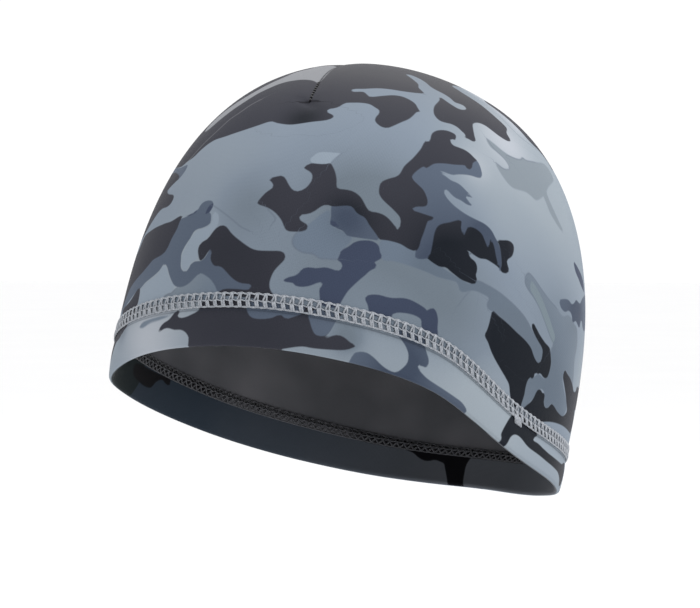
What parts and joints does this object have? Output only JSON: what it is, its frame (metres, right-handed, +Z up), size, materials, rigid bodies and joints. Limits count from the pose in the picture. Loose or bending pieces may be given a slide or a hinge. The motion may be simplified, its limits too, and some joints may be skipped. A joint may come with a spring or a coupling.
{
  "type": "helmet liner cap",
  "caption": "Thin domed stretch-cloth skull cap with a folded hem band and a flatlock seam, worn under a helmet; hollow, open below, higher at the forehead than at the nape.",
  "frame": {"origin": "middle of the opening, on the cap's own axis, where the cap sits round the head", "axes": "+Z up as worn, -Y the wearer's front, +X the wearer's left; the opening is tilted 18 degrees about X, high at the forehead and low at the nape"},
  "size_m": [0.1633, 0.1965, 0.1675],
  "materials": {
    "crown_cloth": "fine matt stretch knit with a blue-grey camouflage print outside, plain charcoal inside",
    "band_cloth": "the same printed stretch knit folded double, print on both faces",
    "cover_thread": "pale grey polyester cover thread with a slight lustre",
    "looper_thread": "dark textured looper thread"
  },
  "bodies": {
    "root": {"crown": "crown_cloth", "hem_band": "band_cloth", "flatlock_seam_outer": "cover_thread", "flatlock_seam_inner": "looper_thread"}
  },
  "joints": []
}
